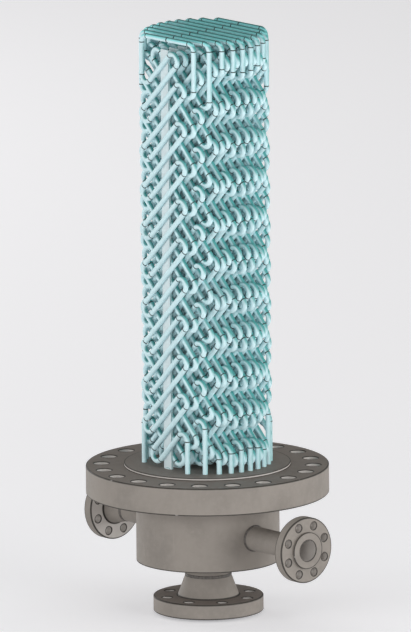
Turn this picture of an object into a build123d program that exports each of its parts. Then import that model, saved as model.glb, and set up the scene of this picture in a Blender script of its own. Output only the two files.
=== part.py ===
"""Tube bundle, tubesheet and channel of a shell and tube heat exchanger, with the outer shell taken off.

Z points up and starts at the face of the bottom nozzle. X is the axis of the two side nozzles.
All lengths are millimetres.
"""
from build123d import *
import os
from math import ceil, floor, radians, sqrt, tan

# Fits and edges
weld_fit = 0.1
notch_fit = 0.15
overrun = 2.0
rim_chamfer = 1.5
raised_face = 6.35

# Tubes: thin pipe bent to and fro at 45 degrees, one flat layer on each side of a spacer bar
tube_od = 12.7
tube_wall = 1.65
layer_gap = 1.35
bend_radius = 17.4
first_leg_rise = 42.55
bundle_height = 1088.0
bend_face_gap = 9.0
top_run_gap = 18.9
stub_margin = 3.8
bundle_edge_gap = 4.55
shortest_half_chord = 76.0

# Spacer bars, notched on both faces for the tubes
bar_width = 28.0
bar_thickness = 6.0
bar_top_gap = 19.65

# Channel below the tubesheet
barrel_od = 355.6
barrel_wall = 11.1
barrel_height = 170.0
bottom_plate_thickness = 22.0

# Tubesheet, a thick blind flange drilled for bolts and tubes
main_od = 603.25
main_thickness = 69.85
main_face_od = 412.75
main_bolt_edge = 38.1
main_bolt_hole = 38.1
main_bolt_count = 20

# Bottom nozzle
base_pipe_od = 114.3
base_bore = 102.3
base_pipe_length = 38.0
base_flange_od = 273.05
base_flange_thickness = 38.1
base_face_od = 157.2
base_hub_od = 152.4
base_hub_length = 52.0
base_bolt_edge = 28.575
base_bolt_hole = 25.4
base_bolt_count = 8

# Two side nozzles
side_pipe_od = 60.3
side_bore = 52.5
side_reach = 381.0
side_drop = 91.4
side_flange_od = 165.1
side_flange_thickness = 25.4
side_face_od = 92.1
side_hub_od = 84.1
side_hub_length = 47.6
side_bolt_edge = 19.05
side_bolt_hole = 19.05
side_bolt_count = 8

# Bolt circles, each a fixed distance in from its rim
main_bolt_circle = main_od - 2 * main_bolt_edge
base_bolt_circle = base_flange_od - 2 * base_bolt_edge
side_bolt_circle = side_flange_od - 2 * side_bolt_edge

# Levels that follow from the sizes, from the ground up
base_hub_top = raised_face + base_flange_thickness + base_hub_length
barrel_bottom = base_hub_top + base_pipe_length
barrel_top = barrel_bottom + barrel_height
sheet_face = barrel_top + main_thickness + raised_face
side_level = barrel_top - side_drop

# Radii and spacings of the bundle
tube_radius = tube_od / 2
barrel_inside = barrel_od / 2 - barrel_wall
bundle_radius = barrel_inside - tube_radius - bundle_edge_gap
layer_pitch = tube_od + layer_gap
circuit_pitch = 2 * layer_pitch
widest_layer = sqrt(bundle_radius ** 2 - shortest_half_chord ** 2)
circuit_count = floor((2 * widest_layer / layer_pitch + 1) / 2)

# A leg climbs at 45 degrees, and the next one lies straight above it by this step
leg_step = 2 * sqrt(2) * bend_radius
bend_offset = bend_radius / sqrt(2)
corner_setback = bend_radius * tan(radians(67.5))
lowest_bend = bend_face_gap + tube_radius + bend_radius
highest_bend = bundle_height - tube_od - top_run_gap - bend_radius
top_bend = bundle_height - bend_radius
bar_top = bundle_height - tube_radius - bar_top_gap


def half_chord(y):
    """Half the width of the round bundle at the layer that stands at y."""
    return sqrt(bundle_radius ** 2 - y ** 2)


def leg_rise(index):
    """Height at x = 0 of a numbered leg of a layer, above the tubesheet face."""
    return first_leg_rise + index * leg_step


def first_leg(half):
    """Number of the lowest leg that leaves room for its bend above the tubesheet."""
    room = lowest_bend + stub_margin + corner_setback - half - first_leg_rise
    return 2 * ceil(room / (2 * leg_step))


def last_leg(half):
    """Number of the highest leg that leaves room for its bend below the top run."""
    room = highest_bend - stub_margin - corner_setback + half - first_leg_rise
    return 2 * floor(room / (2 * leg_step))


def tube_path(half, y, far_half, far_y):
    """Centre line of one layer: stub, bends and sloping legs, riser, and half of the top run."""

    def point(x, height):
        return Vector(x, y, sheet_face + height)

    diagonal = bend_radius * sqrt(2) / 2
    edges = []

    # Stub up through the tubesheet, then a bend that turns back down along the first leg
    start = Vector(half, y, barrel_top)
    stub_top = half + leg_rise(first_leg(half)) - corner_setback
    leg_start = point(half - bend_radius - bend_offset, stub_top + bend_offset)
    crown_x = half - bend_radius + bend_radius * sqrt((2 - sqrt(2)) / 4)
    crown_z = stub_top + bend_radius * sqrt((2 + sqrt(2)) / 4)
    edges.append(Edge.make_line(start, point(half, stub_top)))
    edges.append(Edge.make_three_point_arc(point(half, stub_top), point(crown_x, crown_z), leg_start))

    # Legs to and fro, joined by half-turn bends that stay inside the bundle and between its ends
    for leg in range(first_leg(half), last_leg(half)):
        middle = (leg_rise(leg) + leg_rise(leg + 1)) / 2
        going_left = leg % 2 == 0
        if going_left:
            centre_x = max(bend_radius - half, lowest_bend - middle)
        else:
            centre_x = min(half - bend_radius, highest_bend - middle)
        centre_z = centre_x + middle
        side = -diagonal if going_left else diagonal
        bend_start = point(centre_x + bend_offset, centre_z - bend_offset)
        bend_middle = point(centre_x + side, centre_z + side)
        bend_end = point(centre_x - bend_offset, centre_z + bend_offset)
        edges.append(Edge.make_line(leg_start, bend_start))
        edges.append(Edge.make_three_point_arc(bend_start, bend_middle, bend_end))
        leg_start = bend_end

    # Last leg, bend and riser on the left side
    riser_foot = corner_setback - half + leg_rise(last_leg(half))
    leg_end = point(bend_radius + bend_offset - half, riser_foot - bend_offset)
    crown_x = bend_radius - half - bend_radius * sqrt((2 - sqrt(2)) / 4)
    crown_z = riser_foot - bend_radius * sqrt((2 + sqrt(2)) / 4)
    edges.append(Edge.make_line(leg_start, leg_end))
    edges.append(Edge.make_three_point_arc(leg_end, point(crown_x, crown_z), point(-half, riser_foot)))
    edges.append(Edge.make_line(point(-half, riser_foot), point(-half, top_bend)))

    # Top bend and the near half of the run across to the other layer, as far as its middle
    across = Vector(half + far_half, far_y - y, 0)
    along = across.normalized()
    centre = point(-half, top_bend) + along * bend_radius
    bend_middle = centre - along * bend_offset + Vector(0, 0, bend_offset)
    bend_end = centre + Vector(0, 0, bend_radius)
    seam = point(-half, bundle_height) + across / 2
    edges.append(Edge.make_three_point_arc(point(-half, top_bend), bend_middle, bend_end))
    edges.append(Edge.make_line(bend_end, seam))
    return Wire(edges)


def tube_layer(path, outside, inside=0):
    """Round bar, or tube where it has an inside, swept along a centre line."""
    section = Circle(outside)
    if inside:
        section -= Circle(inside)
    start = Plane(origin=path @ 0, z_dir=path % 0)
    return sweep(start * section, path=path)


def weld_neck_flange(flange_od, thickness, face_od, hub_od, hub_length, pipe_od, bore,
                     bolt_circle, bolt_hole, bolt_count):
    """Flange with a raised face at z = 0 looking down and a tapered hub above."""
    back = raised_face + thickness
    rim = flange_od / 2
    outline = Polyline(
        (bore / 2, 0),
        (face_od / 2, 0),
        (face_od / 2, raised_face),
        (rim - rim_chamfer, raised_face),
        (rim, raised_face + rim_chamfer),
        (rim, back - rim_chamfer),
        (rim - rim_chamfer, back),
        (hub_od / 2, back),
        (pipe_od / 2, back + hub_length),
        (bore / 2, back + hub_length),
        close=True,
    )
    ring = revolve(Plane.XZ * make_face(outline), Axis.Z)
    return ring - bolt_holes(bolt_circle, bolt_hole, bolt_count, back)


def bolt_holes(circle, hole, count, top):
    """Round cutters on a bolt circle, set so that the holes straddle the X axis."""
    depth = top + 2 * overrun
    cutter = Pos(0, 0, top / 2) * Cylinder(hole / 2, depth)
    return [place * cutter for place in PolarLocations(circle / 2, count, 180 / count)]


def tubesheet():
    """Thick drilled disc with its raised face up."""
    rim = main_od / 2
    top = main_thickness
    outline = Polyline(
        (0, 0),
        (rim - rim_chamfer, 0),
        (rim, rim_chamfer),
        (rim, top - rim_chamfer),
        (rim - rim_chamfer, top),
        (main_face_od / 2, top),
        (main_face_od / 2, top + raised_face),
        (0, top + raised_face),
        close=True,
    )
    disc = revolve(Plane.XZ * make_face(outline), Axis.Z)
    disc -= bolt_holes(main_bolt_circle, main_bolt_hole, main_bolt_count, top)
    depth = top + raised_face + 2 * overrun
    drill = Pos(0, 0, (top + raised_face) / 2) * Cylinder(tube_radius + weld_fit, depth)
    drills = []
    for circuit in range(circuit_count):
        rising_y, falling_y = layer_places(circuit)
        drills.append(Pos(half_chord(rising_y), rising_y, 0) * drill)
        drills.append(Pos(-half_chord(falling_y), falling_y, 0) * drill)
    return Pos(0, 0, barrel_top) * (disc - drills)


def layer_places(circuit):
    """The y of the rising layer and of the falling layer of a circuit."""
    middle = (circuit - (circuit_count - 1) / 2) * circuit_pitch
    return middle - layer_pitch / 2, middle + layer_pitch / 2


def side_pipe():
    """Pipe of the right nozzle, its inner end cut flush with the inside of the barrel."""
    length = side_reach - raised_face - side_flange_thickness - side_hub_length
    ring = Circle(side_pipe_od / 2) - Circle(side_bore / 2)
    pipe = extrude(Plane(origin=(0, 0, side_level), x_dir=(0, 1, 0), z_dir=(1, 0, 0)) * ring, length)
    inside = Pos(0, 0, side_level) * Cylinder(barrel_inside, side_pipe_od + 2 * overrun)
    return pipe - inside


def side_flange():
    """Flange of the right nozzle, its face looking along +X."""
    flange = weld_neck_flange(side_flange_od, side_flange_thickness, side_face_od, side_hub_od,
                              side_hub_length, side_pipe_od, side_bore,
                              side_bolt_circle, side_bolt_hole, side_bolt_count)
    return Pos(side_reach, 0, side_level) * Rot(0, -90, 0) * flange


def channel_barrel():
    """Round wall of the channel, bored on both sides for the side nozzles."""
    ring = Circle(barrel_od / 2) - Circle(barrel_inside)
    wall = extrude(Pos(0, 0, barrel_bottom) * ring, barrel_height)
    bore = Cylinder(side_pipe_od / 2 + weld_fit, barrel_od + 2 * overrun)
    return wall - Pos(0, 0, side_level) * Rot(0, 90, 0) * bore


def channel_bottom_plate():
    """Flat end set inside the barrel, with a hole for the bottom nozzle."""
    ring = Circle(barrel_inside - weld_fit) - Circle(base_pipe_od / 2 + weld_fit)
    return extrude(Pos(0, 0, barrel_bottom) * ring, bottom_plate_thickness)


def bottom_nozzle_neck():
    """Short pipe from the bottom flange up through the bottom plate."""
    ring = Circle(base_pipe_od / 2) - Circle(base_bore / 2)
    return extrude(Pos(0, 0, base_hub_top) * ring, base_pipe_length + bottom_plate_thickness)


def bottom_nozzle_flange():
    """Flange that the unit stands on."""
    return weld_neck_flange(base_flange_od, base_flange_thickness, base_face_od, base_hub_od,
                            base_hub_length, base_pipe_od, base_bore,
                            base_bolt_circle, base_bolt_hole, base_bolt_count)


def circuit_paths(circuit):
    """Centre lines of both layers of a circuit. The falling one is a rising one turned half round."""
    rising_y, falling_y = layer_places(circuit)
    rising_half = half_chord(rising_y)
    falling_half = half_chord(falling_y)
    rising = tube_path(rising_half, rising_y, falling_half, falling_y)
    falling = tube_path(falling_half, -falling_y, rising_half, -rising_y)
    return rising, falling


def spacer_bar(circuit, cutters):
    """Flat bar between the layers of a circuit, standing on the tubesheet and notched for the tubes."""
    middle = sum(layer_places(circuit)) / 2
    blank = Pos(0, middle, sheet_face + bar_top / 2) * Box(bar_width, bar_thickness, bar_top)
    return blank - cutters


def save(shape, name):
    export_step(shape, os.path.join("parts", name + ".step"))


def main():
    os.makedirs("parts", exist_ok=True)
    half_turn = Rot(0, 0, 180)

    save(bottom_nozzle_flange(), "bottom_nozzle_flange")
    save(bottom_nozzle_neck(), "bottom_nozzle_neck")
    save(channel_bottom_plate(), "channel_bottom_plate")
    save(channel_barrel(), "channel_barrel")
    save(side_pipe(), "right_nozzle_pipe")
    save(side_flange(), "right_nozzle_flange")
    save(half_turn * side_pipe(), "left_nozzle_pipe")
    save(half_turn * side_flange(), "left_nozzle_flange")
    save(tubesheet(), "tubesheet_flange")

    for circuit in range(circuit_count):
        number = f"{circuit + 1:02d}"
        rising, falling = circuit_paths(circuit)
        bore = tube_radius - tube_wall
        save(tube_layer(rising, tube_radius, bore), f"tube_circuit_{number}_rising")
        save(half_turn * tube_layer(falling, tube_radius, bore), f"tube_circuit_{number}_falling")
        notch = tube_radius + notch_fit
        cutters = [tube_layer(rising, notch), half_turn * tube_layer(falling, notch)]
        save(spacer_bar(circuit, cutters), f"spacer_bar_{number}")


main()
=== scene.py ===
"""Finishes, welds and studio for the tube bundle and channel of a shell and tube heat exchanger.

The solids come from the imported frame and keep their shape. This script gives them their finish
and adds the welds. Lengths are metres.
"""

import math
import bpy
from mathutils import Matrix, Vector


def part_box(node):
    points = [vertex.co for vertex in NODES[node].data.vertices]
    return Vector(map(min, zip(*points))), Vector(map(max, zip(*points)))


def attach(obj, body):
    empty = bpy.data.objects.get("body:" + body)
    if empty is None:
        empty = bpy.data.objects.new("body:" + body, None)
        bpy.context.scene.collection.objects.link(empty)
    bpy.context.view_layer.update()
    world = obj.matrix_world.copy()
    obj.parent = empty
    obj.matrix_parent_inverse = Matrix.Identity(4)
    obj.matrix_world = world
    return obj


bl_info = {
    "name": "Heat Exchanger Bundle Dressing",
    "version": (1, 0, 0),
    "blender": (4, 5, 0),
    "location": "View3D > Sidebar > Exchanger",
    "description": "Finishes, welds and studio for a heat exchanger tube bundle",
    "category": "Object",
}

from collections import namedtuple

import bmesh
import bpy
from bpy.props import FloatProperty, FloatVectorProperty, IntProperty, PointerProperty
from bpy.types import Operator, Panel, PropertyGroup
from mathutils import Matrix, Vector

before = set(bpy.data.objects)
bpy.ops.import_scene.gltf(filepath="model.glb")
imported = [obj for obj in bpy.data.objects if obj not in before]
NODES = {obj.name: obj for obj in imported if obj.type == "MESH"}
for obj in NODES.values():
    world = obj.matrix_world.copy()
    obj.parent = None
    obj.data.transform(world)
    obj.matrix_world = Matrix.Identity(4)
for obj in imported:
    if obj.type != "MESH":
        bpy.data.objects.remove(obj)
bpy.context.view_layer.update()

SHEET_LOW, SHEET_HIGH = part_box("tubesheet_flange")
BARREL_LOW, BARREL_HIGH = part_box("channel_barrel")
BASE_LOW, BASE_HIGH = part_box("bottom_nozzle_flange")
NECK_LOW, NECK_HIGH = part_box("bottom_nozzle_neck")
SIDE_LOW, SIDE_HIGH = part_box("right_nozzle_flange")
PIPE_LOW, PIPE_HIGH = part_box("right_nozzle_pipe")
PLATE_LOW, PLATE_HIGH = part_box("channel_bottom_plate")
SIDE_LEVEL = (SIDE_LOW.z + SIDE_HIGH.z) / 2
CIRCUITS = [name[:-len("_rising")] for name in sorted(NODES) if name.endswith("_rising")]
BARS = [name for name in sorted(NODES) if name.startswith("spacer_bar")]
PIPEWORK = ["channel_barrel", "channel_bottom_plate", "bottom_nozzle_neck",
            "right_nozzle_pipe", "left_nozzle_pipe"]
LAMPS = ("key", "front", "fill", "left_back", "right_back")

# Height of the picture in pixels, how far the camera sees, and half the width of the floor.
IMAGE_HEIGHT = 632
CAMERA_REACH = 100.0
FLOOR_HALF = 30.0
SKY_TINT = (1.0, 0.98, 0.95)

# Turn of a tube from a level run or a stub into its sloping legs.
SLOPE_BEND = math.radians(135)

# Sides of the section of a tube weld, and the share of a bar's width that its foot weld covers.
SEAM_SIDES = 4
BAR_WELD_SHARE = 0.42

# The side that takes the painted shade on the tubes and bars, as weights of x, y and z, and the
# depth under the top runs' centre lines at which their painted light and shade has faded out.
SHADED_SIDE = (0.35, 0.20, 0.72)
TOP_FADE = 0.006

# A wall's mask is full this near to the wall and ends this far from it.
WALL_NEAR = 0.0003
WALL_FAR = 0.0009

# The same for the back face of a side flange. The grooves of a seat end within the nearer one.
FACE_NEAR = 0.0005
FACE_FAR = 0.0015

# Turning marks on a forging, grooves on a raised face, and the dark line at the barrel's ends.
TURNING_PITCH = 0.0016
GROOVE_PITCH = 0.0024
BARREL_LINE = 0.0030

# The bolt holes of one flange: their number, circle and radius, the reach of the dark line round
# them, and the levels of the two faces that they run between.
BoltHoles = namedtuple("BoltHoles", "bolts circle radius line front back")


def length(name, description, default):
    return FloatProperty(name=name, description=description, default=default, unit="LENGTH",
                         precision=5)


def number(name, description, default, least=1):
    return IntProperty(name=name, description=description, default=default, min=least)


def angle(name, description, degrees):
    return FloatProperty(name=name, description=description, default=math.radians(degrees),
                         subtype="ANGLE")


def power(name, description, watts):
    return FloatProperty(name=name, description=description, default=watts, unit="POWER")


def colour(name, description, default):
    return FloatVectorProperty(name=name, description=description, default=default, size=3,
                               subtype="COLOR", min=0.0, max=1.0)


class BundleSizes(PropertyGroup):
    """Sizes of the bent tubes and of the welds on them."""

    tube_radius: length("Tube radius", "Outside radius of a tube", 0.00635)
    bend_radius: length("Bend radius", "Radius of every bend, on the tube's centre line", 0.0174)
    first_leg_rise: length("First leg", "Height of leg 0 above the tubesheet, at x = 0", 0.04255)
    bundle_height: length("Bundle height", "Height of the top runs above the tubesheet", 1.088)
    lowest_bend: length("Lowest bend", "Centre of the low half turns over the tubesheet", 0.03275)
    highest_bend: length("Highest bend", "Centre of the top half turns over the tubesheet", 1.039)
    stub_margin: length("Stub margin", "How far the end bends stay inside the half turns", 0.0038)
    seam_width: length("Seam width", "Width of a butt weld on a tube", 0.0024)
    seam_height: length("Seam height", "How far a butt weld stands out of a tube", 0.0004)
    seam_steps: number("Seam steps", "Steps round a butt weld on a tube", 12, 8)
    joint_width: length("Joint width", "Width of the closing weld amid a top run", 0.0030)


class FlangeSizes(PropertyGroup):
    """Sizes that the flange finishes follow."""

    raised_face: length("Raised face", "Height of every raised face", 0.00635)
    main_seat: length("Tubesheet seat", "Radius of the tubesheet's raised face", 0.206375)
    main_circle: length("Tubesheet bolt circle", "Radius of the tubesheet's bolt circle", 0.263525)
    main_hole: length("Tubesheet hole", "Radius of the tubesheet's bolt holes", 0.01905)
    main_bolts: number("Tubesheet bolts", "Bolt holes in the tubesheet", 20)
    base_seat: length("Base seat", "Radius of the bottom flange's raised face", 0.0786)
    base_bore: length("Base bore", "Radius of the bottom nozzle's bore", 0.05115)
    base_hub: length("Base hub", "Radius of the bottom flange's hub at its foot", 0.0762)
    base_hub_length: length("Base hub length", "Length of the bottom flange's hub", 0.052)
    base_circle: length("Base bolt circle", "Radius of the bottom flange's bolt circle", 0.10795)
    base_hole: length("Base hole", "Radius of the bottom flange's bolt holes", 0.0127)
    base_bolts: number("Base bolts", "Bolt holes in the bottom flange", 8)
    side_seat: length("Side seat", "Radius of a side flange's raised face", 0.04605)
    side_bore: length("Side bore", "Radius of a side nozzle's bore", 0.02625)
    side_hub: length("Side hub", "Radius of a side flange's hub at its foot", 0.04205)
    side_hub_length: length("Side hub length", "Length of a side flange's hub", 0.0476)
    side_circle: length("Side bolt circle", "Radius of a side flange's bolt circle", 0.0635)
    side_hole: length("Side hole", "Radius of a side flange's bolt holes", 0.009525)
    side_bolts: number("Side bolts", "Bolt holes in a side flange", 8)
    rim_line: length("Rim line", "Reach of the dark line along the large rims", 0.0038)
    fine_line: length("Fine line", "Reach of the dark line along the finer edges", 0.0024)
    hole_line: length("Hole line", "Reach of the dark line round the side flanges' holes", 0.0032)


class WeldSizes(PropertyGroup):
    """Sizes of the welds on the channel and nozzles."""

    fillet: length("Fillet weld", "Leg of the fillet welds on the channel", 0.0034)
    butt: length("Butt weld", "Half width of the butt welds on the nozzles", 0.0050)
    crown: length("Weld crown", "How far a butt weld stands out of its pipe", 0.0011)
    bar_foot: length("Bar weld", "Leg of the welds at the feet of the spacer bars", 0.0032)
    ring_steps: number("Ring steps", "Steps round a large weld", 120, 24)
    bead_sides: number("Bead sides", "Sides of a weld's round section", 10, 6)


class FinishColours(PropertyGroup):
    """Colours of the finishes, as linear values."""

    tube: colour("Tube", "Pale aqua coat of the tubes", (0.67, 0.89, 0.94))
    # Painted shade on the tubes' upper sides and on the top runs' crests; the same colour also
    # marks the specks.
    tube_shade_and_specks: colour("Tube, deep", "Deeper tone where the coat lies thick", (0.100, 0.38, 0.37))
    # Painted light on the top runs' flanks, which lie in their neighbours' shade.
    top_run_light: colour("Tube, top", "Full tone on the runs across the top", (0.35, 0.88, 0.90))
    bar: colour("Bar", "Pale coat of the spacer bars", (0.70, 0.81, 0.84))
    # Painted shade on the bars' upper sides.
    bar_shade: colour("Bar, deep", "Deeper tone on the upper sides of the bars", (0.22, 0.50, 0.50))
    steel: colour("Steel", "Warm grey coat of flanges and channel", (0.305, 0.276, 0.248))
    steel_dark: colour("Steel, dark", "Darker patches in the grey coat", (0.225, 0.205, 0.185))
    # Painted shade, darker and browner, on the level faces of the upright flanges.
    level_face_shade: colour("Oiled", "Browner coat on the level faces, which hold oil", (0.185, 0.150, 0.133))
    edge: colour("Edge", "Blackened coat along the edges", (0.020, 0.019, 0.017))
    # Uncoated metal on knocked edges. In the upright flanges' holes and on the seat's step the same
    # pale tone is partly cut metal and partly painted light on walls that lie in shade.
    bare_and_hole_light: colour("Bare steel", "Metal in upright holes and on knocked edges", (0.70, 0.67, 0.64))
    # Cut metal, made lighter as painted light on the side flanges' back faces and in their holes
    # and bores, which lie in shade.
    cut_metal_and_painted_light: colour("Machined", "Cut metal in and behind the side flanges", (0.72, 0.68, 0.645))
    weld: colour("Weld", "Burnt metal of the tube welds", (0.020, 0.032, 0.032))
    channel_weld: colour("Channel weld", "Coated weld on the channel", (0.150, 0.137, 0.125))
    floor: colour("Floor", "Pale studio floor", (0.80, 0.80, 0.82))
    floor_glow: colour("Floor glow", "Light that the floor shows to the camera", (0.36, 0.36, 0.37))


class StudioSettings(PropertyGroup):
    """Camera and lamps."""

    azimuth: angle("Azimuth", "Camera round the object", 49.38)
    elevation: angle("Elevation", "Camera above the horizon", 11.95)
    roll: angle("Roll", "Turn of the picture", 0.493)
    pixel: length("Pixel", "Real size of one pixel of the picture", 0.0024795)
    aim_height: length("Aim height", "Level of the middle of the picture", 0.7490)
    aim_side: length("Aim side", "Middle of the picture to the right of the axis", -0.00144)
    distance: length("Distance", "Camera from the axis", 4.0)
    key_power: power("Key", "Power of the soft lamp on the left", 218.0)
    key_turn: angle("Key turn", "Key lamp round from the camera", -70)
    front_power: power("Front", "Power of the soft lamp in front", 132.0)
    front_turn: angle("Front turn", "Front lamp round from the camera", -5)
    fill_power: power("Fill", "Power of the soft lamp on the right", 288.0)
    fill_turn: angle("Fill turn", "Fill lamp round from the camera", 46)
    left_back_power: power("Left back", "Power of the soft lamp behind on the left", 195.0)
    left_back_turn: angle("Left back turn", "Left back lamp round from the camera", -143)
    right_back_power: power("Right back", "Power of the soft lamp behind on the right", 130.0)
    right_back_turn: angle("Right back turn", "Right back lamp round from the camera", 95)
    lamp_distance: length("Lamp distance", "Lamps from the axis", 8.0)
    lamp_width: length("Lamp width", "Width of each lamp", 4.4)
    lamp_height: length("Lamp height", "Height of each lamp, which stands on the floor", 3.4)
    sky: FloatProperty(name="Sky", description="Strength of the light all round", default=0.345)


class Value:
    """A node's output that takes part in Python sums. Each sum adds one Math node."""

    def __init__(self, finish, socket):
        self.finish = finish
        self.socket = socket

    def math(self, operation, *terms):
        return self.finish.node("ShaderNodeMath", {"operation": operation}, terms)

    def __add__(self, other):
        return self.math("ADD", self, other)

    def __sub__(self, other):
        return self.math("SUBTRACT", self, other)

    def __rsub__(self, other):
        return self.math("SUBTRACT", other, self)

    def __mul__(self, other):
        return self.math("MULTIPLY", self, other)

    def __pow__(self, other):
        return self.math("POWER", self, other)

    def __abs__(self):
        return self.math("ABSOLUTE", self)

    __radd__ = __add__
    __rmul__ = __mul__

    def larger(self, other):
        return self.math("MAXIMUM", self, other)

    def sine(self):
        return self.math("SINE", self)

    def fraction(self):
        return self.math("FRACT", self)

    def angle_from(self, other):
        return self.math("ARCTAN2", self, other)


class Finish:
    """One material: its shader, and one way to add any node."""

    def __init__(self, name):
        self.material = bpy.data.materials.new(name)
        self.material.use_nodes = True
        self.tree = self.material.node_tree
        self.shader = self.tree.nodes["Principled BSDF"]
        self.place = self.node("ShaderNodeTexCoord", {}, (), "Object")

    def node(self, kind, settings, sockets, output=0):
        """Adds a node, settings first, then sockets by order or name. Returns one output."""
        made = self.tree.nodes.new(kind)
        for key, setting in settings.items():
            setattr(made, key, setting)
        pairs = sockets.items() if isinstance(sockets, dict) else enumerate(sockets)
        for key, value in pairs:
            self.feed(made.inputs[key], value)
        return Value(self, made.outputs[output])

    def feed(self, socket, value):
        if isinstance(value, Value):
            self.tree.links.new(value.socket, socket)
        elif socket.type == "RGBA":
            socket.default_value = (*value, 1.0)
        else:
            socket.default_value = value

    def set(self, **named):
        """Sets or links the shader's own sockets."""
        for key, value in named.items():
            self.feed(self.shader.inputs[key.replace("_", " ")], value)

    def parts(self, vector):
        """The x, y and z of a vector, each as a value."""
        first = self.node("ShaderNodeSeparateXYZ", {}, [vector])
        return [Value(self, socket) for socket in first.socket.node.outputs]

    def facing(self):
        """The x, y and z of the surface's own direction."""
        return self.parts(self.node("ShaderNodeTexCoord", {}, (), "Normal"))

    def noise(self, scale, detail=3.0, stretch=(1.0, 1.0, 1.0)):
        """Even noise from 0 to 1, drawn out along an axis where its stretch is small."""
        place = self.node("ShaderNodeMapping", {}, {"Vector": self.place, "Scale": stretch})
        return self.node("ShaderNodeTexNoise", {},
                         {"Vector": place, "Scale": scale, "Detail": detail})

    def band(self, value, low, high):
        """0 below low, 1 above high, with a soft step between."""
        return self.node("ShaderNodeMapRange", {"interpolation_type": "SMOOTHSTEP"},
                         {"Value": value, "From Min": low, "From Max": high})

    def blend(self, mask, first, second):
        """First colour where the mask is 0, second where it is 1."""
        return self.node("ShaderNodeMix", {"data_type": "RGBA"}, {0: mask, 6: first, 7: second}, 2)

    def bump(self, height, distance, strength, under=None):
        """A bump of this height field, over another one where it is given."""
        sockets = {"Height": height, "Distance": distance, "Strength": strength}
        if under:
            sockets["Normal"] = under
        return self.node("ShaderNodeBump", {}, sockets)


def distance_from(first, second):
    """Length of a two-part step, for the distance from an axis or from an edge."""
    return (first * first + second * second) ** 0.5


def shade(tone, share):
    """A colour made lighter or darker by a share."""
    return tuple(min(1.0, part * share) for part in tone)


def upper_side_shade(finish, cloud):
    """Mask of painted shade on the upper sides, and 0 on the undersides, which keep the pale lit
    colour.
    """
    x_weight, y_weight, z_weight = SHADED_SIDE
    across, depth, up = finish.facing()
    lean = up * z_weight + across * x_weight + depth * y_weight + (cloud - 0.5) * 0.16
    return finish.band(lean, 0.06, 0.66)


def tube_finish(colours, top_level):
    """Smooth pale aqua coat with painted shade on the upper sides, painted light and shade on the
    top runs, and specks.
    """
    finish = Finish("tube_coat")
    broad = finish.noise(scale=7.0, detail=2.0)
    cloud = finish.noise(scale=42.0, detail=4.0)
    grain = finish.noise(scale=900.0, detail=3.0)
    specks = finish.band(finish.noise(scale=260.0, detail=2.0), 0.70, 0.78)
    # Painted shade on the upper sides.
    tone = finish.blend(upper_side_shade(finish, cloud), colours.tube, colours.tube_shade_and_specks)
    top = finish.band(finish.parts(finish.place)[2], top_level - TOP_FADE, top_level)
    up = finish.facing()[2]
    # Painted light on the top runs' flanks and painted shade on their crests.
    tone = finish.blend(top * finish.band(up, -0.10, 0.40), tone, colours.top_run_light)
    tone = finish.blend(top * finish.band(up, 0.55, 0.92), tone, shade(colours.tube_shade_and_specks, 0.7))
    tone = finish.blend(finish.band(broad, 0.45, 0.75) * 0.3, tone, shade(colours.tube, 0.86))
    tone = finish.blend(specks * 0.2, tone, colours.tube_shade_and_specks)
    finish.set(Base_Color=tone, Roughness=0.40 + cloud * 0.16 + specks * 0.2)
    finish.set(Coat_Weight=0.05 + broad * 0.12, Coat_Roughness=0.25, Specular_IOR_Level=0.0)
    finish.set(Normal=finish.bump(grain * 0.4 + cloud, distance=0.00025, strength=0.5))
    return finish.material


def bar_finish(name, colours):
    """Pale coat on rolled flat bar, with painted shade on its upper sides, the long grain of
    rolling and dull patches.
    """
    finish = Finish(name)
    rolled = finish.noise(scale=120.0, detail=4.0, stretch=(1.0, 1.0, 0.04))
    cloud = finish.noise(scale=30.0, detail=3.0)
    # Painted shade on the upper sides.
    tone = finish.blend(upper_side_shade(finish, cloud), colours.bar, colours.bar_shade)
    dull = finish.band(cloud, 0.4, 0.75) * 0.4 + rolled * 0.2
    tone = finish.blend(dull, tone, shade(colours.bar, 0.8))
    finish.set(Base_Color=tone, Roughness=0.40 + rolled * 0.2, Coat_Weight=0.1)
    finish.set(Normal=finish.bump(rolled + cloud * 0.5, distance=0.0003, strength=0.6))
    return finish.material


class RoundForm:
    """Place of a point on a turned form: its distance from the axis and its level along it."""

    def __init__(self, finish, axis, centre):
        x, y, z = finish.parts(finish.place)
        facing = finish.facing()
        if axis == "Z":
            self.level = z
            first, second, lean = x, y, facing[2]
        else:
            self.level = abs(x)
            first, second, lean = y, z - centre, facing[0]
        self.finish = finish
        self.radius = distance_from(first, second)
        self.turn = second.angle_from(first)
        self.flat = finish.band(abs(lean), 0.8, 0.95)

    def near(self, edges):
        """Mask of round edges, each given by its radius, its level and the reach of its line."""
        mask = None
        for radius, level, reach in edges:
            gap = distance_from(self.radius - radius, self.level - level)
            line = 1 - self.finish.band(gap, reach * 0.6, reach)
            mask = line if mask is None else mask.larger(line)
        return mask

    def wall(self, distance, radius):
        """Mask of a wall along the axis, where this distance is no more than the radius."""
        beyond = self.finish.band(distance, radius + WALL_NEAR, radius + WALL_FAR)
        return (1 - beyond) * (1 - self.flat)

    def hole_gap(self, bolts, circle):
        """Distance from the axis of the nearest bolt hole."""
        step = 2 * math.pi / bolts
        off = ((self.turn * (1 / step)).fraction() - 0.5) * step
        return distance_from(off * self.radius, self.radius - circle)

    def rings(self, pitch):
        """Height field of fine turning marks, round on the flats and along the level elsewhere."""
        share = 2 * math.pi / pitch
        round_marks = (self.radius * share).sine() * self.flat
        return round_marks + (self.level * share).sine() * (1 - self.flat)


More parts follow.
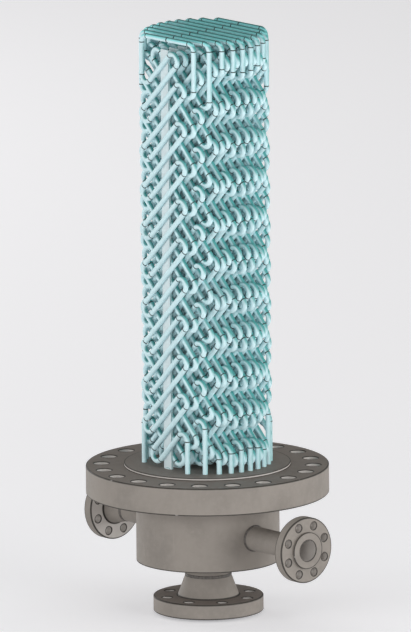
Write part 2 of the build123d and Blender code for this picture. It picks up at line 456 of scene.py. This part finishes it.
def steel_tone(finish, colours, edge, breakup):
    """Warm grey coat with darker patches, blackened along the edges and worn through to the metal
    in places.
    """
    patches = finish.noise(scale=9.0, detail=5.0)
    mottle = finish.noise(scale=70.0, detail=4.0)
    dark = finish.band(patches * 0.7 + mottle * 0.3, 0.38, 0.72) * 0.7
    tone = finish.blend(dark, colours.steel, colours.steel_dark)
    tone = finish.blend(finish.band(mottle, 0.58, 0.8) * 0.5, tone, shade(colours.steel, 1.15))
    tone = finish.blend(edge * (0.7 + breakup * 0.3), tone, colours.edge)
    worn = edge * finish.band(breakup, 0.66, 0.76) * 0.4
    return finish.blend(worn, tone, colours.bare_and_hole_light), worn, patches, mottle


def flange_finish(name, colours, axis, centre, edges, seat, bore, holes):
    """Grey coat on a turned forging, with turning marks, dark edges, cut metal in its holes that is
    partly painted light, and grooves on its seat. The upright flanges' level faces carry painted
    shade, and the side flanges' back faces painted light."""
    finish = Finish(name)
    form = RoundForm(finish, axis, centre)
    gap = form.hole_gap(holes.bolts, holes.circle)
    hole = form.wall(gap, holes.radius)
    from_lip = finish.band(abs(gap - holes.radius), holes.line * 0.5, holes.line * 0.9)
    middle = (holes.front + holes.back) / 2
    half = abs(holes.front - holes.back) / 2
    from_middle = abs(form.level - middle)
    mouth = hole * finish.band(from_middle, half - holes.line * 0.7, half - holes.line * 0.4)
    edge = form.near(edges).larger((1 - from_lip) * form.flat).larger(mouth)
    clear = 1 - edge

    breakup = finish.noise(scale=55.0, detail=5.0)
    tone, worn, patches, mottle = steel_tone(finish, colours, edge, breakup)
    inside = hole.larger(form.wall(form.radius, bore))
    if axis == "Z":
        step = form.wall(abs(form.radius - seat), 0.0)
        # Painted shade on the level faces.
        tone = finish.blend(form.flat * clear * 0.6, tone, colours.level_face_shade)
        # Partly cut metal and partly painted light on the walls of the holes and of the seat's
        # step, which lie in shade.
        tone = finish.blend(inside.larger(step * 0.7) * clear, tone, colours.bare_and_hole_light)
    else:
        before = finish.band(form.level, holes.back + FACE_NEAR, holes.back + FACE_FAR)
        behind = form.flat * (1 - before)
        # Painted light on the back face, which lies in shade, in a cut-metal tone.
        tone = finish.blend(behind * clear, tone, colours.cut_metal_and_painted_light)
        # Partly cut metal and partly painted light in the holes and the bore.
        tone = finish.blend(inside * clear, tone, shade(colours.cut_metal_and_painted_light, 0.82))

    grooves = (form.radius * (2 * math.pi / GROOVE_PITCH)).sine() * form.flat
    grooves = grooves * (1 - finish.band(form.radius, seat, seat + FACE_NEAR))
    finish.set(Base_Color=tone, Metallic=worn * 0.6, Specular_IOR_Level=0.2)
    finish.set(Roughness=0.50 + mottle * 0.18 - worn * 0.2)
    under = finish.bump(mottle + patches * 0.5, distance=0.0006, strength=0.35)
    marks = form.rings(TURNING_PITCH) * 0.25 + grooves
    finish.set(Normal=finish.bump(marks, distance=0.00012, strength=0.5, under=under))
    return finish.material


def channel_finish(colours):
    """Grey coat on rolled plate and pipe, with a faint orange-peel skin and light scuffs."""
    finish = Finish("channel_coat")
    form = RoundForm(finish, "Z", 0.0)
    ends = (BARREL_LOW.z, BARREL_HIGH.z)
    edge = form.near([(BARREL_HIGH.x, level, BARREL_LINE) for level in ends])
    breakup = finish.noise(scale=48.0, detail=5.0)
    tone, worn, patches, mottle = steel_tone(finish, colours, edge, breakup)
    drawn_out = finish.noise(scale=60.0, detail=3.0, stretch=(1.0, 1.0, 0.12))
    scuffs = finish.band(drawn_out, 0.66, 0.74)
    tone = finish.blend(scuffs * 0.25, tone, shade(colours.steel, 1.25))
    finish.set(Base_Color=tone, Metallic=worn * 0.6, Specular_IOR_Level=0.2)
    finish.set(Roughness=0.48 + mottle * 0.2 - scuffs * 0.08)
    under = finish.bump(mottle + patches, distance=0.0008, strength=0.3)
    skin = finish.noise(scale=420.0, detail=2.0)
    finish.set(Normal=finish.bump(skin, distance=0.0002, strength=0.35, under=under))
    return finish.material


def weld_finish(name, tone, ripple):
    """Weld metal with ripples and a burnt, uneven tone."""
    finish = Finish(name)
    cells = finish.node("ShaderNodeTexVoronoi", {"feature": "SMOOTH_F1"},
                        {"Vector": finish.place, "Scale": ripple})
    cloud = finish.noise(scale=160.0, detail=4.0)
    burnt = finish.band(cloud, 0.35, 0.7)
    finish.set(Base_Color=finish.blend(burnt, tone, shade(tone, 0.55)))
    finish.set(Metallic=0.25, Roughness=0.42 + cloud * 0.25)
    finish.set(Normal=finish.bump(cells + cloud * 0.4, distance=0.0012, strength=0.6))
    return finish.material


def floor_finish(colours):
    """Matt pale floor that looks near white to the camera and in gloss, and keeps its shadow."""
    finish = Finish("studio_floor")
    cloud = finish.noise(scale=0.7, detail=2.0)
    seen = finish.node("ShaderNodeLightPath", {}, (), "Is Camera Ray")
    for ray in ("Is Glossy Ray", "Is Transmission Ray"):
        seen = seen.larger(finish.node("ShaderNodeLightPath", {}, (), ray))
    finish.set(Base_Color=finish.blend(cloud, colours.floor, shade(colours.floor, 0.985)))
    glow = finish.blend(seen, (0.0, 0.0, 0.0), colours.floor_glow)
    finish.set(Emission_Color=glow, Emission_Strength=1.0)
    finish.set(Roughness=0.9, Specular_IOR_Level=0.1)
    return finish.material


def dress(names, material):
    """Gives CAD nodes a material."""
    for name in names:
        mesh = NODES[name].data
        mesh.materials.clear()
        mesh.materials.append(material)


def add_piece(name, shape, material):
    """Makes a shape an object of the part, smooth and closed, at the origin."""
    bmesh.ops.recalc_face_normals(shape, faces=shape.faces)
    mesh = bpy.data.meshes.new(name)
    shape.to_mesh(mesh)
    shape.free()
    mesh.shade_smooth()
    mesh.materials.append(material)
    piece = bpy.data.objects.new(name, mesh)
    bpy.context.scene.collection.objects.link(piece)
    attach(piece, "root")
    return piece


def bead_ring(radius, half_width, crown, steps, sides):
    """Closed bead about Z: a flattened polygon, set with a flat side out, spun round the axis."""
    ring = bmesh.new()
    corner = 1 / math.cos(math.pi / sides)
    section = bmesh.ops.create_circle(ring, segments=sides, radius=corner)["verts"]
    turn = Matrix.Rotation(math.pi / sides, 4, "Z")
    flatten = Matrix.Diagonal((crown, half_width, 1.0, 1.0)) @ turn
    stand = Matrix.Translation((radius, 0, 0)) @ Matrix.Rotation(math.radians(90), 4, "X")
    bmesh.ops.transform(ring, matrix=stand @ flatten, verts=section)
    bmesh.ops.spin(ring, geom=ring.edges[:], cent=(0, 0, 0), axis=(0, 0, 1),
                   angle=math.radians(360), steps=steps, use_merge=True)
    return ring


def join_shape(target, shape, matrix):
    """Adds a copy of one shape to another, placed by a matrix."""
    mesh = bpy.data.meshes.new("copy")
    shape.to_mesh(mesh)
    mesh.transform(matrix)
    target.from_mesh(mesh)
    bpy.data.meshes.remove(mesh)


def turn_to(point, direction):
    """Matrix that takes Z to a direction and the origin to a point."""
    return Matrix.Translation(point) @ direction.to_track_quat("Z", "Y").to_matrix().to_4x4()


def layer_frame(circuit, half_name, sizes):
    """Half width, y and turn of a tube layer, from its solid. Falling ones are turned round."""
    low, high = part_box(f"{circuit}_{half_name}")
    half = (high.x - low.x) / 2 - sizes.tube_radius
    if half_name == "rising":
        return half, low.y + sizes.tube_radius, Matrix.Identity(4)
    return half, -(high.y - sizes.tube_radius), Matrix.Rotation(math.radians(180), 4, "Z")


def layer_seams(half, sizes):
    """Place and direction of every seam between a straight stretch and a bend of one layer."""
    bend = sizes.bend_radius
    offset = bend / math.sqrt(2)
    setback = bend * math.tan(SLOPE_BEND / 2)
    step = 2 * math.sqrt(2) * bend
    upright = Vector((0, 0, 1))
    slope = Vector((1, 0, 1)).normalized()

    def rise(leg):
        return sizes.first_leg_rise + leg * step

    room = sizes.lowest_bend + sizes.stub_margin + setback - half - sizes.first_leg_rise
    first = 2 * math.ceil(room / (2 * step))
    room = sizes.highest_bend - sizes.stub_margin - setback + half - sizes.first_leg_rise
    last = 2 * math.floor(room / (2 * step))

    stub_top = half + rise(first) - setback
    yield Vector((half, 0, stub_top)), upright
    yield Vector((half - bend - offset, 0, stub_top + offset)), slope
    for leg in range(first, last):
        middle = (rise(leg) + rise(leg + 1)) / 2
        if leg % 2 == 0:
            x = max(bend - half, sizes.lowest_bend - middle)
        else:
            x = min(half - bend, sizes.highest_bend - middle)
        centre = Vector((x, 0, x + middle))
        yield centre + Vector((offset, 0, -offset)), slope
        yield centre + Vector((-offset, 0, offset)), slope
    foot = setback - half + rise(last)
    yield Vector((bend + offset - half, 0, foot - offset)), slope
    yield Vector((-half, 0, foot)), upright
    yield Vector((-half, 0, sizes.bundle_height - bend)), upright


class EXCHANGER_OT_tubes(Operator):
    """Give the tubes their aqua coat and the spacer bars theirs"""

    bl_idname = "exchanger.tubes"
    bl_label = "Tubes and bars"

    def execute(self, context):
        colours = context.scene.exchanger_colours
        tubes = [name for name in NODES if name.startswith("tube_circuit")]
        top_level = SHEET_HIGH.z + context.scene.exchanger_bundle.bundle_height
        dress(tubes, tube_finish(colours, top_level))
        dress(BARS, bar_finish("spacer_bar_coat", colours))
        return {"FINISHED"}


class EXCHANGER_OT_steel(Operator):
    """Give the tubesheet, channel and nozzles their grey coat"""

    bl_idname = "exchanger.steel"
    bl_label = "Tubesheet, channel and nozzles"

    def execute(self, context):
        colours = context.scene.exchanger_colours
        sizes = context.scene.exchanger_flanges
        dress(["tubesheet_flange"], self.sheet_coat(colours, sizes))
        dress(["bottom_nozzle_flange"], self.base_coat(colours, sizes))
        dress(["right_nozzle_flange", "left_nozzle_flange"], self.side_coat(colours, sizes))
        dress(PIPEWORK, channel_finish(colours))
        return {"FINISHED"}

    def sheet_coat(self, colours, sizes):
        front = SHEET_HIGH.z - sizes.raised_face
        back = SHEET_LOW.z
        edges = [(SHEET_HIGH.x, back, sizes.rim_line),
                 (SHEET_HIGH.x, front, sizes.rim_line),
                 (sizes.main_seat, front, sizes.fine_line * 0.8),
                 (sizes.main_seat, SHEET_HIGH.z, sizes.fine_line)]
        holes = BoltHoles(sizes.main_bolts, sizes.main_circle, sizes.main_hole, sizes.rim_line,
                          front, back)
        return flange_finish("tubesheet_coat", colours, "Z", 0.0, edges, sizes.main_seat, 0.0,
                             holes)

    def base_coat(self, colours, sizes):
        front = sizes.raised_face
        back = BASE_HIGH.z - sizes.base_hub_length
        edges = [(BASE_HIGH.x, front, sizes.rim_line),
                 (BASE_HIGH.x, back, sizes.rim_line),
                 (sizes.base_hub, back, sizes.rim_line)]
        holes = BoltHoles(sizes.base_bolts, sizes.base_circle, sizes.base_hole, sizes.rim_line,
                          front, back)
        return flange_finish("base_flange_coat", colours, "Z", 0.0, edges, sizes.base_seat,
                             sizes.base_bore, holes)

    def side_coat(self, colours, sizes):
        rim = (SIDE_HIGH.z - SIDE_LOW.z) / 2
        front = SIDE_HIGH.x - sizes.raised_face
        back = SIDE_LOW.x + sizes.side_hub_length
        edges = [(rim, front, sizes.rim_line),
                 (rim, back, sizes.rim_line),
                 (sizes.side_hub, back, sizes.rim_line),
                 (sizes.side_bore, SIDE_HIGH.x, sizes.fine_line),
                 (sizes.side_seat, SIDE_HIGH.x, sizes.fine_line)]
        holes = BoltHoles(sizes.side_bolts, sizes.side_circle, sizes.side_hole, sizes.hole_line,
                          front, back)
        return flange_finish("side_flange_coat", colours, "X", SIDE_LEVEL, edges, sizes.side_seat,
                             sizes.side_bore, holes)


class EXCHANGER_OT_tube_seams(Operator):
    """Add the butt welds between the straights and the bends of every tube"""

    bl_idname = "exchanger.tube_seams"
    bl_label = "Tube welds"

    def execute(self, context):
        sizes = context.scene.exchanger_bundle
        colours = context.scene.exchanger_colours
        material = weld_finish("tube_weld", colours.weld, ripple=900.0)
        ring, joint = (bead_ring(sizes.tube_radius, width / 2, sizes.seam_height, sizes.seam_steps,
                                 SEAM_SIDES) for width in (sizes.seam_width, sizes.joint_width))
        for half_name in ("rising", "falling"):
            seams = bmesh.new()
            for circuit in CIRCUITS:
                half, y, turn = layer_frame(circuit, half_name, sizes)
                other = "falling" if half_name == "rising" else "rising"
                far_half, far_y, far_turn = layer_frame(circuit, other, sizes)
                base = turn @ Matrix.Translation((0, y, SHEET_HIGH.z))
                for point, direction in layer_seams(half, sizes):
                    join_shape(seams, ring, base @ turn_to(point, direction))
                across = Vector((half + far_half, -far_y - y, 0))
                corner = Vector((-half, 0, sizes.bundle_height))
                bend_end = corner + across.normalized() * sizes.bend_radius
                join_shape(seams, ring, base @ turn_to(bend_end, across))
                if half_name == "rising":
                    join_shape(seams, joint, base @ turn_to(corner + across / 2, across))
            add_piece(f"tube_welds_{half_name}", seams, material)
        ring.free()
        joint.free()
        return {"FINISHED"}


class EXCHANGER_OT_channel_welds(Operator):
    """Add the welds round the barrel, the bottom plate, the nozzles and the feet of the bars"""

    bl_idname = "exchanger.channel_welds"
    bl_label = "Channel and bar welds"

    def execute(self, context):
        welds = context.scene.exchanger_welds
        colours = context.scene.exchanger_colours
        material = weld_finish("channel_weld", colours.channel_weld, ripple=260.0)
        self.barrel_welds(welds, material)
        self.nozzle_welds(welds, material)
        self.bar_welds(welds, bar_finish("bar_weld_coat", colours))
        return {"FINISHED"}

    def barrel_welds(self, welds, material):
        shape = bmesh.new()
        pipe = NECK_HIGH.x
        pipe_leg = welds.fillet * 0.8
        rings = [(BARREL_HIGH.x, BARREL_HIGH.z, welds.fillet, welds.fillet),
                 (PLATE_HIGH.x, PLATE_LOW.z, welds.fillet * 0.7, welds.fillet * 0.45),
                 (pipe, PLATE_LOW.z, pipe_leg, pipe_leg),
                 (pipe, NECK_LOW.z, welds.crown, welds.butt)]
        for radius, level, crown, half_width in rings:
            bead = bead_ring(radius, half_width, crown, welds.ring_steps, welds.bead_sides)
            join_shape(shape, bead, Matrix.Translation((0, 0, level)))
            bead.free()
        add_piece("channel_weld_rings", shape, material)

    def nozzle_welds(self, welds, material):
        pipe = (PIPE_HIGH.z - PIPE_LOW.z) / 2
        barrel = BARREL_HIGH.x
        quarter = Matrix.Rotation(math.radians(90), 4, "Y")
        steps = welds.ring_steps // 2
        saddle = bead_ring(pipe, welds.fillet, welds.fillet, steps, welds.bead_sides)
        bmesh.ops.transform(saddle, matrix=quarter, verts=saddle.verts)
        for vertex in saddle.verts:
            vertex.co.x += math.sqrt(barrel ** 2 - vertex.co.y ** 2)
        butt = bead_ring(pipe, welds.butt, welds.crown, steps, welds.bead_sides)
        reach = Matrix.Translation((SIDE_LOW.x, 0, 0))
        bmesh.ops.transform(butt, matrix=reach @ quarter, verts=butt.verts)
        shape = bmesh.new()
        for side in (0, 180):
            turn = Matrix.Rotation(math.radians(side), 4, "Z")
            place = Matrix.Translation((0, 0, SIDE_LEVEL)) @ turn
            join_shape(shape, saddle, place)
            join_shape(shape, butt, place)
        saddle.free()
        butt.free()
        add_piece("nozzle_welds", shape, material)

    def bar_welds(self, welds, material):
        shape = bmesh.new()
        for name in BARS:
            low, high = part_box(name)
            for y in (low.y, high.y):
                bead = bmesh.new()
                bmesh.ops.create_uvsphere(bead, u_segments=10, v_segments=6, radius=1.0)
                half_width = (high.x - low.x) * BAR_WELD_SHARE
                reach = Matrix.Diagonal((half_width, welds.bar_foot, welds.bar_foot, 1.0))
                join_shape(shape, bead, Matrix.Translation((0, y, low.z)) @ reach)
                bead.free()
        add_piece("bar_foot_welds", shape, material)


class EXCHANGER_OT_studio(Operator):
    """Set the floor, the lamps and the camera"""

    bl_idname = "exchanger.studio"
    bl_label = "Studio"

    def execute(self, context):
        studio = context.scene.exchanger_studio
        aim = Vector((0, 0, studio.aim_height))
        self.floor(context)
        for name in LAMPS:
            heading = self.heading(studio.azimuth + getattr(studio, f"{name}_turn"), 0.0)
            self.lamp(name, studio, getattr(studio, f"{name}_power"), heading)
        self.sky(context, studio)
        self.camera(context, studio, aim)
        context.scene.view_settings.view_transform = "Standard"
        return {"FINISHED"}

    def heading(self, azimuth, elevation):
        """Direction from the axis at this turn about it and this angle above the horizon."""
        level = math.cos(elevation)
        return Vector((math.sin(azimuth) * level, -math.cos(azimuth) * level, math.sin(elevation)))

    def floor(self, context):
        shape = bmesh.new()
        bmesh.ops.create_grid(shape, x_segments=1, y_segments=1, size=FLOOR_HALF)
        mesh = bpy.data.meshes.new("studio_floor")
        shape.to_mesh(mesh)
        shape.free()
        mesh.materials.append(floor_finish(context.scene.exchanger_colours))
        floor = bpy.data.objects.new("studio_floor", mesh)
        context.scene.collection.objects.link(floor)

    def lamp(self, name, studio, watts, heading):
        """A soft lamp that stands on the floor and shines on the axis."""
        data = bpy.data.lights.new(name, "AREA")
        data.shape = "RECTANGLE"
        data.size = studio.lamp_width
        data.size_y = studio.lamp_height
        data.energy = watts
        lamp = bpy.data.objects.new(name, data)
        lamp.location = heading * studio.lamp_distance + Vector((0, 0, studio.lamp_height / 2))
        lamp.rotation_euler = heading.to_track_quat("Z", "Y").to_euler()
        lamp.visible_camera = False
        bpy.context.scene.collection.objects.link(lamp)

    def sky(self, context, studio):
        world = bpy.data.worlds.new("studio_sky")
        world.use_nodes = True
        background = world.node_tree.nodes["Background"]
        background.inputs["Color"].default_value = (*SKY_TINT, 1.0)
        background.inputs["Strength"].default_value = studio.sky
        context.scene.world = world

    def camera(self, context, studio, aim):
        data = bpy.data.cameras.new("camera")
        data.type = "ORTHO"
        data.ortho_scale = studio.pixel * IMAGE_HEIGHT
        data.clip_end = CAMERA_REACH
        camera = bpy.data.objects.new("camera", data)
        heading = self.heading(studio.azimuth, studio.elevation)
        look = (-heading).to_track_quat("-Z", "Y").to_matrix()
        turn = look @ Matrix.Rotation(-studio.roll, 3, "Z")
        side = Vector((math.cos(studio.azimuth), math.sin(studio.azimuth), 0)) * studio.aim_side
        camera.location = aim + side + heading * studio.distance
        camera.rotation_euler = turn.to_euler()
        context.scene.collection.objects.link(camera)
        context.scene.camera = camera


class EXCHANGER_PT_panel(Panel):
    """Lists the steps and their sizes in the sidebar"""

    bl_idname = "EXCHANGER_PT_panel"
    bl_label = "Exchanger"
    bl_space_type = "VIEW_3D"
    bl_region_type = "UI"
    bl_category = "Exchanger"

    def draw(self, context):
        for step in STEPS:
            self.layout.operator(step.bl_idname)
        for group in GROUPS:
            settings = getattr(context.scene, group)
            for name in settings.bl_rna.properties.keys():
                if name not in ("rna_type", "name"):
                    self.layout.prop(settings, name)


GROUPS = {
    "exchanger_bundle": BundleSizes,
    "exchanger_flanges": FlangeSizes,
    "exchanger_welds": WeldSizes,
    "exchanger_colours": FinishColours,
    "exchanger_studio": StudioSettings,
}
STEPS = (EXCHANGER_OT_tubes, EXCHANGER_OT_steel, EXCHANGER_OT_tube_seams,
         EXCHANGER_OT_channel_welds, EXCHANGER_OT_studio)
CLASSES = (*GROUPS.values(), *STEPS, EXCHANGER_PT_panel)


def register():
    for item in CLASSES:
        bpy.utils.register_class(item)
    for name, group in GROUPS.items():
        setattr(bpy.types.Scene, name, PointerProperty(type=group))


def unregister():
    for name in GROUPS:
        delattr(bpy.types.Scene, name)
    for item in reversed(CLASSES):
        bpy.utils.unregister_class(item)


def main():
    register()
    for step in STEPS:
        area, name = step.bl_idname.split(".")
        getattr(getattr(bpy.ops, area), name)()


if __name__ == "__main__":
    main()
